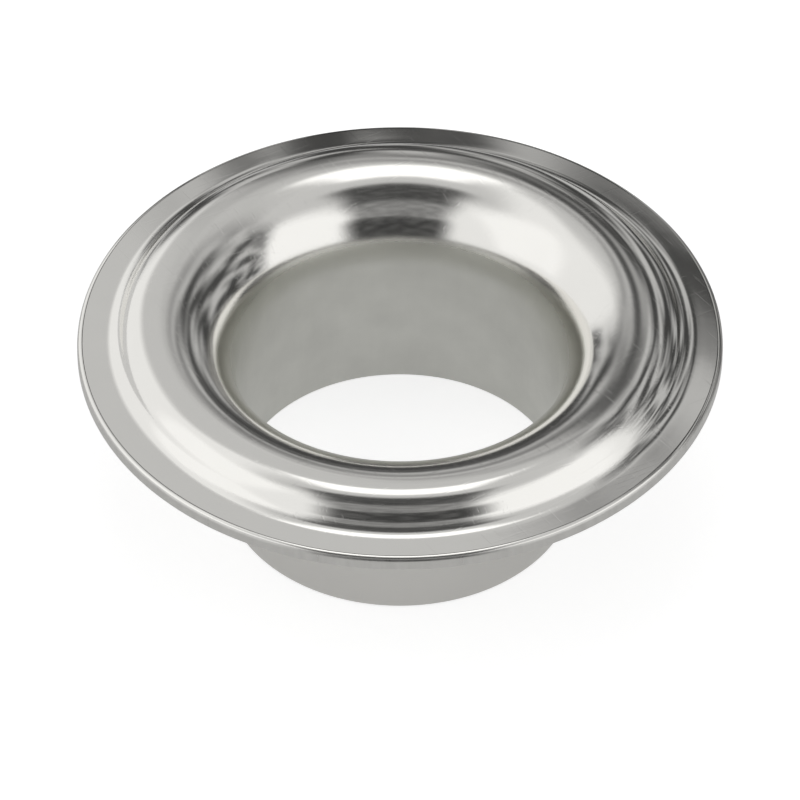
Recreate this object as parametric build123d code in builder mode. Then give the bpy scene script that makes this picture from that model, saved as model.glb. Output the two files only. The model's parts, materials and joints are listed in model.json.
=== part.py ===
from build123d import *
from math import atan, degrees
import os

# A one-piece sheet-metal eyelet, drawn and flanged from a single blank.
# Millimetres. The origin is the centre of the barrel's cut end, +Z is the axis and
# points out of the face that stays visible once the eyelet is set.

# Driving dimensions
bore_diameter = 6.0        # clear hole through the barrel
sheet = 0.28               # thickness of the metal, the same all along the section
flange_diameter = 11.8     # over the edge of the brim
overall_height = 4.3       # from the barrel's cut end to the top of the crest
crest_rise = 0.52          # top of the crest above the face of the brim
flank_width = 0.92         # from the top of the crest out to the flat of the brim
brim_width = 0.45          # flat lip outside the flank
shoulder_share = 0.60      # part of the flank's curve that is the crest's shoulder
die_roll = 0.10            # rounding on the side of a cut edge where the punch entered
burr_break = 0.04          # small bevel on its other side, where tumbling took the burr off

# Radii of the revolved section, measured from the axis
bore_radius = bore_diameter / 2
flange_radius = flange_diameter / 2
foot_circle_radius = flange_radius - brim_width
crest_circle_radius = foot_circle_radius - flank_width

# The funnel is a quarter round from the bore's wall up to the crest
funnel_radius = crest_circle_radius - bore_radius
barrel_length = overall_height - funnel_radius

# The flank is an S of two arcs that meet at its steepest point. Their radii add up
# to the one value that falls by crest_rise over flank_width with level ends.
flank_angle = degrees(2 * atan(crest_rise / flank_width))
flank_radii = (flank_width**2 + crest_rise**2) / (2 * crest_rise)
shoulder_radius = shoulder_share * flank_radii
foot_radius = flank_radii - shoulder_radius
brim_face_height = overall_height - crest_rise


def barrel_end_corners(sketch):
    """Corners of the barrel's cut end, the bore's side first."""
    return sketch.vertices().group_by(Axis.Y)[0].sort_by(Axis.X)


def brim_edge_corners(sketch):
    """Corners of the brim's cut edge, the underside first."""
    return sketch.vertices().group_by(Axis.X)[-1].sort_by(Axis.Y)


# The drawn and rolled section: its visible face is drawn first, from the barrel's
# end up the bore, over the crest and out along the brim, then given its thickness
with BuildPart() as eyelet:
    with BuildSketch(Plane.XZ) as section:
        with BuildLine() as skin:
            bore_wall = Line((bore_radius, 0), (bore_radius, barrel_length))
            funnel = JernArc(bore_wall @ 1, bore_wall % 1, funnel_radius, -90)
            shoulder = JernArc(funnel @ 1, funnel % 1, shoulder_radius, -flank_angle)
            foot = JernArc(shoulder @ 1, shoulder % 1, foot_radius, flank_angle)
            Line(foot @ 1, (flange_radius, brim_face_height))
            offset(amount=sheet, side=Side.RIGHT)
        make_face()
        fillet([barrel_end_corners(section)[-1], brim_edge_corners(section)[-1]], die_roll)
        chamfer([barrel_end_corners(section)[0], brim_edge_corners(section)[0]], burr_break)
    revolve(axis=Axis.Z)

eyelet.part.label = "eyelet"

os.makedirs("parts", exist_ok=True)
export_step(eyelet.part, "parts/eyelet.step")
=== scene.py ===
import json
import math

import bpy
from bpy.props import FloatProperty, FloatVectorProperty, IntProperty, PointerProperty
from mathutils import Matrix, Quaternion, Vector


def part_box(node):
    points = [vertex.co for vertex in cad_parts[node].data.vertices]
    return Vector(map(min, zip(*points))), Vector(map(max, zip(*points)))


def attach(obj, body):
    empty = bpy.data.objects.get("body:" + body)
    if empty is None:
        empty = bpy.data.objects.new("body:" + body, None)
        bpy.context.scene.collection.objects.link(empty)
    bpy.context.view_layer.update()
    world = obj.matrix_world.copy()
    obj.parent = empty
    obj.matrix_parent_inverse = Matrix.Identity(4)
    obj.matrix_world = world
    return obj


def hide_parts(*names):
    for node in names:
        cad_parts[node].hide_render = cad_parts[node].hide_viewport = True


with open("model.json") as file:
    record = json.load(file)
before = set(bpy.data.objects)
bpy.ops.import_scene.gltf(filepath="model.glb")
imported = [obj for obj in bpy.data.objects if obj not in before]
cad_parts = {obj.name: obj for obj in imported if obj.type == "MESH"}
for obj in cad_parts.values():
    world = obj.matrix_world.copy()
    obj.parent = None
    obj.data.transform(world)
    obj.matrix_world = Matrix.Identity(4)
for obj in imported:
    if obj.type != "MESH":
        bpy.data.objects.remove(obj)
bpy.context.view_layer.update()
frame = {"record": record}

bl_info = {
    "name": "Sheet-metal eyelet",
    "version": (1, 0, 0),
    "blender": (4, 5, 0),
    "location": "3D Viewport > Sidebar > Eyelet",
    "description": "Models a drawn and nickel-plated eyelet and lights it on a pale table",
    "category": "Object",
}

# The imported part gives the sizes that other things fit: the box of the eyelet, the
# bore, the barrel and the underside of the brim. All lengths here are metres.
MM = 0.001
EYELET_HIGH = Vector(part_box("eyelet")[1])
MOUNTS = {mount["name"]: mount for mount in frame["record"]["mounts"]}
BORE_RADIUS = MOUNTS["bore"]["dims"]["r_mm"] * MM
BARREL_RADIUS = MOUNTS["barrel"]["dims"]["r_mm"] * MM
BRIM_UNDERSIDE = MOUNTS["brim_seat"]["pos_m"][2]
FLANGE_RADIUS = EYELET_HIGH.x
CREST_HEIGHT = EYELET_HIGH.z
SHEET = BARREL_RADIUS - BORE_RADIUS
BRIM_FACE = BRIM_UNDERSIDE + SHEET
CREST_RISE = CREST_HEIGHT - BRIM_FACE

# Steps along each stretch of the section, and across its cut corners
WALL_STEPS, FUNNEL_STEPS, SHOULDER_STEPS, FOOT_STEPS, BRIM_STEPS = 8, 36, 20, 14, 5
DIE_ROLL_STEPS, BURR_BREAK_STEPS = 6, 1

# How near a vertex has to be to a corner to belong to it, how near two vertices have to
# be to become one, and the angle below which the shading runs smoothly over an edge
CORNER_REACH = 0.01 * MM
MERGE_REACH = 0.0001 * MM
SMOOTH_ANGLE = math.radians(35)

# Material slots of the eyelet's mesh
FACE_SLOT, BACK_SLOT, CUT_SLOT = 0, 1, 2

# How much rougher the polished plating is where its clouds are thickest
CLOUD_ROUGHNESS = 0.04

# The table lies a hair below the barrel's end. It is lit as a mid grey and glows on top of
# that, so that it shows white to the camera and keeps the eyelet's shadow. Its glow in a
# mirror is set by itself.
TABLE_SIZE = 4.0
TABLE_GAP = 0.01 * MM
TABLE_GREY = 0.50
TABLE_GLOW = 0.72
TABLE_MIRRORED_GLOW = 0.30

# How strongly the white surroundings light a matt thing
PLAIN_LIGHT = 0.50

# The lamps and cards point at the middle of the eyelet's height. Each one's place is an
# azimuth, 0 on the camera's side and 90 to the right, an elevation, both in degrees, and
# a distance in metres. A brightness of 1 is white.
STAGE_CENTRE = Vector((0, 0, CREST_HEIGHT / 2))
SOFTBOXES = (
    # name, azimuth, elevation, distance, width, height, brightness as a lamp, brightness in a mirror
    ("softbox_left", -80, 32, 0.50, 0.46, 0.46, 1.0, 1.15),
    ("softbox_right", 60, 28, 0.50, 0.54, 0.44, 1.0, 1.15),
    ("strip_overhead", 180, 75, 0.30, 0.13, 0.12, 1.3, 1.5),
)
CARDS = (
    # name, azimuth, elevation, distance, width, height, roll, darkest, brightest
    ("scrim_overhead", 45, 83, 0.46, 0.70, 0.60, 0, 0.67, 0.67),
    ("scrim_back", 165, 53, 0.44, 0.84, 0.40, 0, 0.64, 0.64),
    ("scrim_front_high", 0, 72, 0.42, 0.37, 0.24, 0, 0.06, 0.13),
    ("scrim_front_low", 0, 49, 0.43, 0.46, 0.34, 0, 0.22, 0.36),
    ("flag_camera_side", 2, 13, 0.40, 0.56, 0.50, 0, 0.05, 0.12),
    ("flag_back_right", 154, 12, 0.011, 0.052, 0.026, -27, 0.06, 0.58),
)

# A softbox's cloth is this many times as wide as its lamp, because its edge fades. A card
# is solid over this share of its width and height, and its edge fades outside that. Its
# mottle has this many patches to half a card, and goes from dark to bright between these
# two levels of the noise.
CLOTH_SIZE = 1.1
CARD_SOLID = 0.55
MOTTLE_SCALE, MOTTLE_DARK, MOTTLE_BRIGHT = 5.4, 0.39, 0.66

# Width of the camera's sensor in millimetres, and what it sees, as shares of its distance
SENSOR_WIDTH = 36.0
CLIP_NEAR, CLIP_FAR = 0.05, 40


class EyeletSection(bpy.types.PropertyGroup):
    """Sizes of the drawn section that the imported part's interfaces don't give"""

    flank_width: FloatProperty(
        name="Flank width",
        description="From the top of the crest out to the flat of the brim",
        default=0.92 * MM, unit="LENGTH", precision=5)
    brim_width: FloatProperty(
        name="Brim width",
        description="Flat lip outside the flank",
        default=0.45 * MM, unit="LENGTH", precision=5)
    shoulder_share: FloatProperty(
        name="Shoulder share",
        description="Part of the flank's curve that is the crest's shoulder",
        default=0.60, subtype="FACTOR", min=0.1, max=0.9)
    die_roll: FloatProperty(
        name="Die roll",
        description="Rounding on the side of a cut edge where the punch entered",
        default=0.10 * MM, unit="LENGTH", precision=5)
    burr_break: FloatProperty(
        name="Burr break",
        description="Small bevel on the other side of a cut edge",
        default=0.04 * MM, unit="LENGTH", precision=5)
    segments: IntProperty(
        name="Segments",
        description="Faces round the axis",
        default=288, min=48, max=512)


class EyeletFinish(bpy.types.PropertyGroup):
    """Colours and roughness of the plated sheet"""

    nickel: FloatVectorProperty(
        name="Nickel",
        description="Colour of the plating everywhere but on the bore's wall",
        default=(0.80, 0.79, 0.76), size=3, subtype="COLOR", min=0, max=1)
    satin_nickel: FloatVectorProperty(
        name="Satin nickel",
        description="Colour of the bore's wall, where the plating is thin and dull",
        default=(0.74, 0.74, 0.70), size=3, subtype="COLOR", min=0, max=1)
    bright_roughness: FloatProperty(
        name="Bright roughness",
        description="Roughness of the polished faces",
        default=0.09, subtype="FACTOR", min=0, max=1)
    satin_roughness: FloatProperty(
        name="Satin roughness",
        description="Roughness of the bore's wall",
        default=0.39, subtype="FACTOR", min=0, max=1)


class EyeletStage(bpy.types.PropertyGroup):
    """Where the camera stands, and how much of the picture the eyelet fills"""

    camera_elevation: FloatProperty(
        name="Camera elevation",
        description="Height of the camera above the table, as an angle",
        default=math.radians(42.8), subtype="ANGLE")
    lens: FloatProperty(
        name="Lens",
        description="Focal length in millimetres",
        default=300.0, unit="CAMERA", min=1)
    frame_share: FloatProperty(
        name="Share of the frame",
        description="Width of the flange as a share of the picture's width",
        default=0.80, subtype="FACTOR", min=0.1, max=1)


class Wire:
    """A node's output socket that can be used in arithmetic"""

    def __init__(self, graph, socket):
        self.graph = graph
        self.socket = socket

    def __add__(self, other):
        return self.graph.math("ADD", self, other)

    def __radd__(self, other):
        return self.graph.math("ADD", other, self)

    def __sub__(self, other):
        return self.graph.math("SUBTRACT", self, other)

    def __rsub__(self, other):
        return self.graph.math("SUBTRACT", other, self)

    def __mul__(self, other):
        return self.graph.math("MULTIPLY", self, other)

    def __rmul__(self, other):
        return self.graph.math("MULTIPLY", other, self)

    def __truediv__(self, other):
        return self.graph.math("DIVIDE", self, other)

    def __rtruediv__(self, other):
        return self.graph.math("DIVIDE", other, self)


class Graph:
    """A material's or world's node tree, built from expressions"""

    def __init__(self, tree):
        self.tree = tree
        tree.nodes.clear()

    def node(self, kind, settings=None, values=None, output=0):
        """Adds a node, sets it up, feeds its sockets and returns one of its outputs"""
        made = self.tree.nodes.new(kind)
        for name, value in (settings or {}).items():
            setattr(made, name, value)
        for name, value in (values or {}).items():
            if isinstance(name, int):
                socket = made.inputs[name]
            else:
                socket = next(s for s in made.inputs if s.name == name and s.enabled)
            if isinstance(value, Wire):
                self.tree.links.new(value.socket, socket)
            else:
                socket.default_value = value
        if isinstance(output, str):
            return Wire(self, made.outputs[output])
        outputs = [socket for socket in made.outputs if socket.enabled]
        return Wire(self, outputs[output]) if outputs else None

    def math(self, operation, first, second=0.0):
        """One sum on one or two values"""
        return self.node("ShaderNodeMath", {"operation": operation}, {0: first, 1: second})

    def step(self, value, low, high):
        """0 below low, 1 above high, with a smooth ramp between"""
        return self.node(
            "ShaderNodeMapRange", {"interpolation_type": "SMOOTHSTEP"},
            {"Value": value, "From Min": low, "From Max": high})

    def mix(self, factor, first, second):
        """Mixes two colours"""
        return self.node(
            "ShaderNodeMix", {"data_type": "RGBA"},
            {"Factor": factor, "A": first, "B": second})

    def noise(self, vector, scale=1.0, detail=2.0):
        """Soft noise, 0 to 1; scale is how close its patches are, detail how many finer layers it has"""
        return self.node(
            "ShaderNodeTexNoise", {}, {"Vector": vector, "Scale": scale, "Detail": detail})

    def vector(self, x, y, z):
        """A vector from three values"""
        return self.node("ShaderNodeCombineXYZ", {}, {"X": x, "Y": y, "Z": z})


def tone(color, share=1.0):
    """A share of a colour, darker below 1 and lighter above it"""
    return (*(channel * share for channel in color), 1.0)


def grey(level):
    """A grey, from 0 for black to 1 for white"""
    return tone((level, level, level))


def varied(graph, pattern, color, low, high):
    """A colour that a pattern takes from one share of it to another"""
    return graph.mix(pattern, tone(color, low), tone(color, high))


class Places:
    """Where a point of the eyelet is, in millimetres: radius, height and position round the axis"""

    def __init__(self, graph):
        spot = graph.node("ShaderNodeTexCoord", output="Object")
        self.point = graph.node(
            "ShaderNodeVectorMath", {"operation": "SCALE"}, {"Vector": spot, "Scale": 1 / MM})
        self.x, self.y, self.height = (
            graph.node("ShaderNodeSeparateXYZ", {}, {"Vector": self.point}, output=axis) for axis in "XYZ")
        self.radius = graph.math("SQRT", self.x * self.x + self.y * self.y)
        # The direction from the axis, so that a pattern has no seam where the angle turns over
        self.round_x = self.x / self.radius
        self.round_y = self.y / self.radius


def new_material(name):
    """A material with an empty node tree"""
    material = bpy.data.materials.new(name)
    material.use_nodes = True
    return material, Graph(material.node_tree)


def finish_metal(graph, color, roughness, bump):
    """Closes a plated metal's tree: bump is a height in millimetres"""
    normal = graph.node("ShaderNodeBump", {}, {"Strength": 1.0, "Distance": MM, "Height": bump})
    shader = graph.node(
        "ShaderNodeBsdfPrincipled", {},
        {"Base Color": color, "Metallic": 1.0, "Roughness": roughness, "Normal": normal})
    graph.node("ShaderNodeOutputMaterial", {}, {"Surface": shader})


def hairlines(graph, places, turn, seed):
    """0 to 1 along fine straight rubs that all run one way over the part; a seed moves them"""
    along = places.x * math.cos(turn) + places.y * math.sin(turn)
    across = places.y * math.cos(turn) - places.x * math.sin(turn)
    lengthwise, sideways, upward = 0.7, 26, 9
    streaks = graph.noise(
        graph.vector(along * lengthwise + seed, across * sideways, places.height * upward), detail=1.0)
    faint, deep = 0.66, 0.74
    return graph.step(streaks, faint, deep)


def polish_marks(graph, places):
    """Height of the slow waviness and fine orange peel that pressing and tumbling leave"""
    wave_height, peel_height = 0.0100, 0.0004
    waves = graph.noise(places.point, scale=0.55, detail=1.0)
    peel = graph.noise(places.point, scale=5.0)
    return waves * wave_height + peel * peel_height


def press_rings(graph, places):
    """Concentric lines from the turned face of the press tool, 0 to 1"""
    closeness = 7
    return graph.noise(
        graph.vector(places.radius * closeness, places.height * closeness, 0), detail=3.0)


def upright_lines(graph, places, closeness, change):
    """Lines up the barrel, 0 to 1: how close they are, and how soon they change on the way up"""
    return graph.noise(graph.vector(
        places.round_x * closeness, places.round_y * closeness, places.height * change))


def draw_lines(graph, places, closeness):
    """The long lines that the draw punch and die leave"""
    return upright_lines(graph, places, closeness, change=0.4)


def face_material(finish):
    """The visible face: satin wall of the bore, then polished funnel, crest and brim"""
    material, graph = new_material("nickel_face")
    places = Places(graph)
    wall_top = (CREST_HEIGHT - funnel_radius()) / MM
    satin_ends, bright_starts = wall_top + 0.34, wall_top + 0.80
    in_bore = 1 - graph.step(places.height, satin_ends, bright_starts)
    lines = draw_lines(graph, places, closeness=40)
    rings = press_rings(graph, places)
    rubs = hairlines(graph, places, turn=0.5, seed=3.0) + hairlines(graph, places, turn=2.2, seed=8.0)
    cloud = graph.noise(places.point, scale=1.3, detail=3.0)

    satin = varied(graph, cloud, finish.satin_nickel, 0.90, 1.10)
    bright = varied(graph, cloud, finish.nickel, 0.96, 1.00)
    color = graph.mix(in_bore, bright, satin)

    line_roughness = 0.10
    bright_roughness = finish.bright_roughness + cloud * CLOUD_ROUGHNESS
    satin_roughness = finish.satin_roughness + (lines - 0.5) * line_roughness
    roughness = bright_roughness * (1 - in_bore) + satin_roughness * in_bore

    ring_height, rub_depth, line_height = 0.0005, 0.0003, 0.0009
    bright_marks = (rings * ring_height - rubs * rub_depth) * (1 - in_bore)
    bump = polish_marks(graph, places) + bright_marks + lines * in_bore * line_height
    finish_metal(graph, color, roughness, bump)
    return material


def back_material(finish):
    """The hidden face: barrel with faint draw lines and painted shade, polished trough, satin flange with
    press rings
    """
    material, graph = new_material("nickel_back")
    places = Places(graph)
    barrel = BARREL_RADIUS / MM
    crest_circle = (BORE_RADIUS + funnel_radius()) / MM
    barrel_ends, trough_starts = barrel + 0.02, barrel + 0.30
    trough_ends, flange_starts = crest_circle - 0.30, crest_circle + 0.05
    end_marks_fade, end_marks_gone = 0.25, 0.85
    on_barrel = 1 - graph.step(places.radius, barrel_ends, trough_starts)
    on_flange = graph.step(places.radius, trough_ends, flange_starts)
    near_end = 1 - graph.step(places.height, end_marks_fade, end_marks_gone)
    lines = draw_lines(graph, places, closeness=60)
    rings = press_rings(graph, places)
    cloud = graph.noise(places.point, scale=1.1, detail=3.0)

    # The flange's darker colour is its dull satin. The barrel's darker colour is painted shade, standing
    # for the shadowed table that it mirrors under the brim.
    barrel_painted_shade = 0.6
    bright = varied(graph, cloud, finish.nickel, 0.93, 1.00)
    dull_flange_and_barrel_shade = graph.math("MAXIMUM", on_flange, on_barrel * barrel_painted_shade)
    color = graph.mix(dull_flange_and_barrel_shade, bright, tone(finish.nickel, 0.86))

    rougher_in_trough, rougher_on_barrel, rougher_on_flange = 0.03, 0.05, 0.18
    line_roughness, ring_roughness = 0.08, 0.14
    trough_roughness = finish.bright_roughness + rougher_in_trough + cloud * CLOUD_ROUGHNESS
    more_on_barrel = rougher_on_barrel + (lines - 0.5) * line_roughness
    more_on_flange = rougher_on_flange + (rings - 0.5) * ring_roughness
    roughness = trough_roughness + on_barrel * more_on_barrel + on_flange * more_on_flange

    line_height, flange_ring_height, end_ring_height = 0.0005, 0.0018, 0.0008
    ring_marks = rings * on_flange * flange_ring_height + rings * near_end * end_ring_height
    bump = polish_marks(graph, places) + lines * on_barrel * line_height + ring_marks
    finish_metal(graph, color, roughness, bump)
    return material


def cut_material(finish):
    """The sheared edges: thinly plated over fine shear marks that run across the sheet"""
    material, graph = new_material("nickel_cut_edge")
    places = Places(graph)
    shear = upright_lines(graph, places, closeness=40, change=1.5)
    color = varied(graph, shear, finish.nickel, 0.62, 0.80)
    least_roughness, shear_roughness, shear_height = 0.24, 0.12, 0.0010
    finish_metal(graph, color, least_roughness + shear * shear_roughness, shear * shear_height)
    return material


def funnel_radius():
    """Radius of the quarter round between the bore's wall and the crest"""
    section = bpy.context.scene.eyelet_section
    return FLANGE_RADIUS - section.brim_width - section.flank_width - BORE_RADIUS


def line_steps(start, end, count):
    """Points of a straight stretch of the section, without its start"""
    way = Vector(end) - start
    return [start + way * step / count for step in range(1, count + 1)]


def arc_steps(start, centre, sweep, count):
    """Points of an arc of the section, without its start; a positive sweep turns left"""
    spoke = start - Vector(centre)
    points = []
    for step in range(1, count + 1):
        turn = sweep * step / count
        points.append(Vector(centre) + Vector((
            spoke.x * math.cos(turn) - spoke.y * math.sin(turn),
            spoke.x * math.sin(turn) + spoke.y * math.cos(turn))))
    return points


def face_rings(section):
    """Radius and height of each ring of the visible face, from the barrel's end to the brim's edge"""
    funnel = funnel_radius()
    wall_top = CREST_HEIGHT - funnel
    crest_circle = BORE_RADIUS + funnel
    foot_circle = crest_circle + section.flank_width

    # The flank is an S of two arcs that meet at its steepest point. Their radii add up to
    # the one value that falls by the crest's rise over the flank's width with level ends.
    flank_angle = 2 * math.atan(CREST_RISE / section.flank_width)
    flank_radii = (section.flank_width**2 + CREST_RISE**2) / (2 * CREST_RISE)
    shoulder = section.shoulder_share * flank_radii
    foot = flank_radii - shoulder
    if min(funnel, shoulder) <= SHEET:
        raise ValueError("The sheet is too thick to bend round the funnel or the crest's shoulder")

    rings = [Vector((BORE_RADIUS, 0))]
    rings += line_steps(rings[-1], (BORE_RADIUS, wall_top), WALL_STEPS)
    rings += arc_steps(rings[-1], (crest_circle, wall_top), -math.pi / 2, FUNNEL_STEPS)
    rings += arc_steps(rings[-1], (crest_circle, CREST_HEIGHT - shoulder), -flank_angle, SHOULDER_STEPS)
    rings += arc_steps(rings[-1], (foot_circle, BRIM_FACE + foot), flank_angle, FOOT_STEPS)
    rings += line_steps(rings[-1], (FLANGE_RADIUS, BRIM_FACE), BRIM_STEPS)
    return rings


def draw_out(rings, segments):
    """Draws the blank's visible face from a ring at the barrel's end, ring by ring"""
    bpy.ops.object.select_all(action="DESELECT")
    first = rings[0]
    bpy.ops.mesh.primitive_circle_add(
        vertices=segments, radius=first.x, fill_type="NOTHING", location=(0, 0, first.y))
    eyelet = bpy.context.object
    eyelet.name = eyelet.data.name = "eyelet_shell"
    bpy.ops.object.transform_apply(location=True, rotation=True, scale=True)
    bpy.ops.object.mode_set(mode="EDIT")
    bpy.ops.mesh.select_all(action="SELECT")
    for here, after in zip(rings, rings[1:]):
        growth = after.x / here.x
        bpy.ops.mesh.extrude_edges_move(TRANSFORM_OT_translate={"value": (0, 0, after.y - here.y)})
        bpy.ops.transform.resize(value=(growth, growth, 1))
    bpy.ops.mesh.select_all(action="SELECT")
    bpy.ops.mesh.normals_make_consistent(inside=False)
    bpy.ops.object.mode_set(mode="OBJECT")
    return eyelet


def turn_face_out(eyelet):
    """Flips the open sheet's faces if the bore's wall looks away from the axis"""
    bore_face = min(eyelet.data.polygons, key=lambda face: face.center.xy.length)
    if bore_face.normal.xy.dot(bore_face.center.xy) > 0:
        bpy.ops.object.mode_set(mode="EDIT")
        bpy.ops.mesh.select_all(action="SELECT")
        bpy.ops.mesh.flip_normals()
        bpy.ops.object.mode_set(mode="OBJECT")


def thicken(eyelet):
    """Gives the drawn face the sheet's thickness behind it, with the cut edges in their own slot"""
    bpy.ops.object.modifier_add(type="SOLIDIFY")
    sheet = eyelet.modifiers[-1]
    sheet.thickness = SHEET
    sheet.offset = -1
    sheet.use_even_offset = True
    sheet.use_quality_normals = True
    sheet.material_offset = BACK_SLOT - FACE_SLOT
    sheet.material_offset_rim = CUT_SLOT - FACE_SLOT
    bpy.ops.object.modifier_apply(modifier=sheet.name)


def round_corner(eyelet, radius, height, width, segments):
    """Bevels the ring of edges at one radius and height"""
    corner = {
        vertex.index for vertex in eyelet.data.vertices
        if abs(vertex.co.xy.length - radius) < CORNER_REACH and abs(vertex.co.z - height) < CORNER_REACH}
    if not corner:
        raise RuntimeError(f"The sheet has no corner at radius {radius} and height {height}")
    bpy.ops.object.mode_set(mode="EDIT")
    bpy.ops.mesh.select_mode(type="EDGE")
    bpy.ops.mesh.select_all(action="DESELECT")
    bpy.ops.object.mode_set(mode="OBJECT")
    for edge in eyelet.data.edges:
        edge.select = corner.issuperset(edge.vertices)
    bpy.ops.object.mode_set(mode="EDIT")
    bpy.ops.mesh.bevel(offset=width, segments=segments, profile=0.5, affect="EDGES")
    bpy.ops.object.mode_set(mode="OBJECT")


def close_up(eyelet):
    """Merges doubles, turns the faces outward and smooths all but the bevelled burr side"""
    bpy.ops.object.mode_set(mode="EDIT")
    bpy.ops.mesh.select_all(action="SELECT")
    bpy.ops.mesh.remove_doubles(threshold=MERGE_REACH)
    bpy.ops.mesh.normals_make_consistent(inside=False)
    bpy.ops.object.mode_set(mode="OBJECT")
    bpy.ops.object.shade_smooth_by_angle(angle=SMOOTH_ANGLE)


class EYELET_OT_shell(bpy.types.Operator):
    """Model the eyelet from one ring of sheet and give it its plated finish"""

    bl_idname = "eyelet.shell"
    bl_label = "Drawn eyelet"

    def execute(self, context):
        section = context.scene.eyelet_section
        finish = context.scene.eyelet_finish
        eyelet = draw_out(face_rings(section), section.segments)
        turn_face_out(eyelet)
        for material in (face_material(finish), back_material(finish), cut_material(finish)):
            eyelet.data.materials.append(material)
        thicken(eyelet)
        round_corner(eyelet, BARREL_RADIUS, 0, section.die_roll, DIE_ROLL_STEPS)
        round_corner(eyelet, FLANGE_RADIUS, BRIM_FACE, section.die_roll, DIE_ROLL_STEPS)
        round_corner(eyelet, BORE_RADIUS, 0, section.burr_break, BURR_BREAK_STEPS)
        round_corner(eyelet, FLANGE_RADIUS, BRIM_UNDERSIDE, section.burr_break, BURR_BREAK_STEPS)
        close_up(eyelet)
        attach(eyelet, "root")
        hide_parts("eyelet")
        return {"FINISHED"}


def stage_place(azimuth, elevation, distance):
    """A place on the stage, as seen from the eyelet; azimuth and elevation are in degrees"""
    across, up = math.radians(azimuth), math.radians(elevation)
    way = Vector((math.sin(across) * math.cos(up), -math.cos(across) * math.cos(up), math.sin(up)))
    return STAGE_CENTRE + way * distance


def aim(thing, roll=0):
    """Points a lamp's, card's or camera's own -Z at the eyelet, and rolls it by some degrees"""
    turn = (STAGE_CENTRE - thing.location).to_track_quat("-Z", "Y")
    thing.rotation_euler = (turn @ Quaternion((0, 0, 1), math.radians(roll))).to_euler()


def background_rays(graph):
    """1 for the rays that see the background: straight, mirrored or through something clear"""
    straight, mirrored, through = (
        graph.node("ShaderNodeLightPath", output=f"Is {kind} Ray")
        for kind in ("Camera", "Glossy", "Transmission"))
    return graph.math("MAXIMUM", graph.math("MAXIMUM", straight, mirrored), through)


def add_table():
    """The pale table, which shows white, keeps the eyelet's shadow and is clear from below"""
    bpy.ops.mesh.primitive_plane_add(size=TABLE_SIZE, location=(0, 0, -TABLE_GAP))
    table = bpy.context.object
    table.name = "table"
    material, graph = new_material("table_white")
    matt = graph.node("ShaderNodeBsdfDiffuse", {}, {"Color": grey(TABLE_GREY)})
    mirrored = graph.node("ShaderNodeLightPath", output="Is Glossy Ray")
    less_in_mirrors = mirrored * (TABLE_GLOW - TABLE_MIRRORED_GLOW)
    glow = graph.node(
        "ShaderNodeEmission", {}, {"Strength": background_rays(graph) * TABLE_GLOW - less_in_mirrors})
    top = graph.node("ShaderNodeAddShader", {}, {0: matt, 1: glow})
    from_below = graph.node("ShaderNodeNewGeometry", output="Backfacing")
    clear = graph.node("ShaderNodeBsdfTransparent")
    shader = graph.node("ShaderNodeMixShader", {}, {0: from_below, 1: top, 2: clear})
    graph.node("ShaderNodeOutputMaterial", {}, {"Surface": shader})
    table.data.materials.append(material)


def add_world():
    """White surroundings for the camera and for mirrors, and a plain level of light elsewhere"""
    world = bpy.data.worlds.new("studio")
    world.use_nodes = True
    bpy.context.scene.world = world
    graph = Graph(world.node_tree)
    strength = PLAIN_LIGHT + background_rays(graph) * (1 - PLAIN_LIGHT)
    sky = graph.node("ShaderNodeBackground", {}, {"Color": grey(1), "Strength": strength})
    graph.node("ShaderNodeOutputWorld", {}, {"Surface": sky})


def add_softbox(name, azimuth, elevation, distance, width, height, brightness, mirrored):
    """A rectangular lamp that mirrors don't see, and the bright cloth that they see in its place"""
    bpy.ops.object.light_add(type="AREA", location=stage_place(azimuth, elevation, distance))
    lamp = bpy.context.object
    lamp.name = name
    lamp.data.shape = "RECTANGLE"
    lamp.data.size, lamp.data.size_y = width, height
    lamp.data.energy = brightness * width * height * math.pi
    lamp.visible_glossy = False
    aim(lamp)
    add_card(
        f"{name}_cloth", azimuth, elevation, distance, CLOTH_SIZE * width, CLOTH_SIZE * height,
        roll=0, darkest=mirrored, brightest=mirrored)


def add_card(name, azimuth, elevation, distance, width, height, roll, darkest, brightest):
    """A mottled card with a soft edge that only mirrors see, as flags stand round a shiny thing"""
    bpy.ops.mesh.primitive_plane_add(size=2.0, location=stage_place(azimuth, elevation, distance))
    card = bpy.context.object
    card.name = name
    card.scale = (width / 2, height / 2, 1)
    aim(card, roll)
    material, graph = new_material(name)
    # The plane reaches from -1 to 1 before its scale, and so do its Object coordinates
    spot = graph.node("ShaderNodeTexCoord", output="Object")
    across, along = (
        graph.math("ABSOLUTE", graph.node("ShaderNodeSeparateXYZ", {}, {"Vector": spot}, output=axis))
        for axis in "XY")
    solid = (1 - graph.step(across, CARD_SOLID, 1.0)) * (1 - graph.step(along, CARD_SOLID, 1.0))
    mottle = graph.step(graph.noise(spot, MOTTLE_SCALE, detail=1.0), MOTTLE_DARK, MOTTLE_BRIGHT)
    paint = graph.node(
        "ShaderNodeEmission", {}, {"Color": graph.mix(mottle, grey(darkest), grey(brightest))})
    clear = graph.node("ShaderNodeBsdfTransparent")
    shader = graph.node("ShaderNodeMixShader", {}, {0: solid, 1: clear, 2: paint})
    graph.node("ShaderNodeOutputMaterial", {}, {"Surface": shader})
    card.data.materials.append(material)
    card.visible_camera = card.visible_diffuse = card.visible_shadow = False


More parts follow.
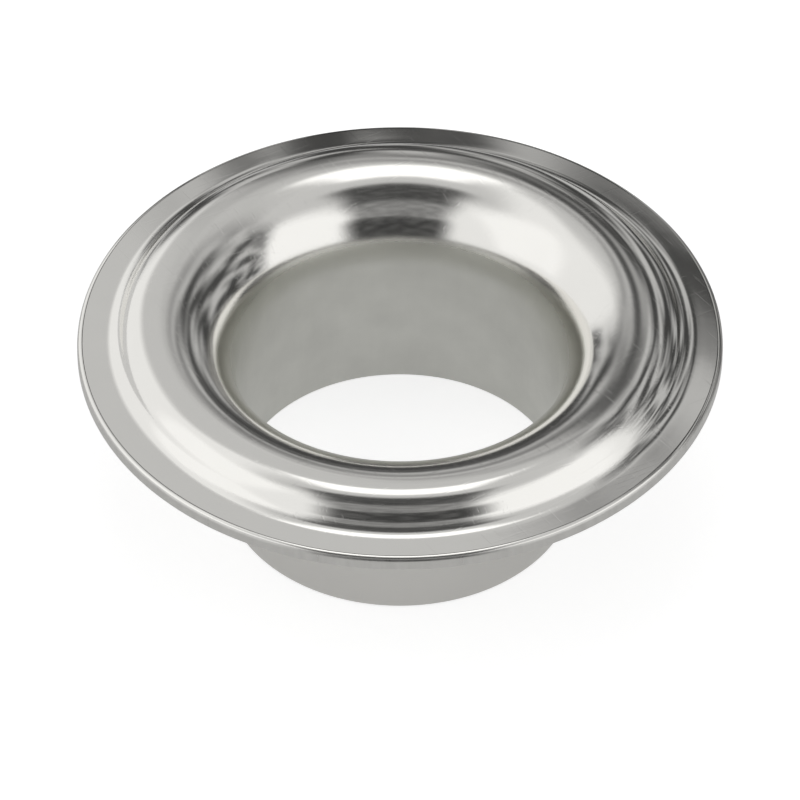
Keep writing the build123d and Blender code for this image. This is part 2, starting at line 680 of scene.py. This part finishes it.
def add_camera(settings):
    """A long lens at the photograph's height, with the flange a set share of the frame"""
    camera_data = bpy.data.cameras.new("camera")
    camera_data.lens = settings.lens
    camera_data.sensor_width = SENSOR_WIDTH
    camera = bpy.data.objects.new("camera", camera_data)
    bpy.context.scene.collection.objects.link(camera)
    bpy.context.scene.camera = camera
    frame_width = 2 * FLANGE_RADIUS / settings.frame_share
    distance = frame_width / camera_data.sensor_width * camera_data.lens
    camera.location = stage_place(0, math.degrees(settings.camera_elevation), distance)
    aim(camera)
    camera_data.clip_start, camera_data.clip_end = distance * CLIP_NEAR, distance * CLIP_FAR


class EYELET_OT_stage(bpy.types.Operator):
    """Set the table, the soft lamps, the grey cards and the camera round the eyelet"""

    bl_idname = "eyelet.stage"
    bl_label = "Table, lamps and camera"

    def execute(self, context):
        bpy.ops.object.select_all(action="DESELECT")
        add_table()
        add_world()
        for softbox in SOFTBOXES:
            add_softbox(*softbox)
        for card in CARDS:
            add_card(*card)
        add_camera(context.scene.eyelet_stage)
        return {"FINISHED"}


class EYELET_PT_panel(bpy.types.Panel):
    """The eyelet's piece and its stage"""

    bl_idname = "EYELET_PT_panel"
    bl_label = "Eyelet"
    bl_space_type = "VIEW_3D"
    bl_region_type = "UI"
    bl_category = "Eyelet"

    def draw(self, context):
        layout = self.layout
        for group, operator in (
                (context.scene.eyelet_section, EYELET_OT_shell),
                (context.scene.eyelet_finish, None),
                (context.scene.eyelet_stage, EYELET_OT_stage)):
            box = layout.box()
            for name in group.__annotations__:
                box.prop(group, name)
            if operator:
                box.operator(operator.bl_idname)


CLASSES = (EyeletSection, EyeletFinish, EyeletStage, EYELET_OT_shell, EYELET_OT_stage, EYELET_PT_panel)


def register():
    for cls in CLASSES:
        bpy.utils.register_class(cls)
    bpy.types.Scene.eyelet_section = PointerProperty(type=EyeletSection)
    bpy.types.Scene.eyelet_finish = PointerProperty(type=EyeletFinish)
    bpy.types.Scene.eyelet_stage = PointerProperty(type=EyeletStage)


def unregister():
    del bpy.types.Scene.eyelet_stage
    del bpy.types.Scene.eyelet_finish
    del bpy.types.Scene.eyelet_section
    for cls in reversed(CLASSES):
        bpy.utils.unregister_class(cls)


def main():
    """Builds the eyelet and its stage"""
    register()
    bpy.context.scene.view_settings.view_transform = "Standard"
    bpy.ops.eyelet.shell()
    bpy.ops.eyelet.stage()


if __name__ == "__main__":
    main()
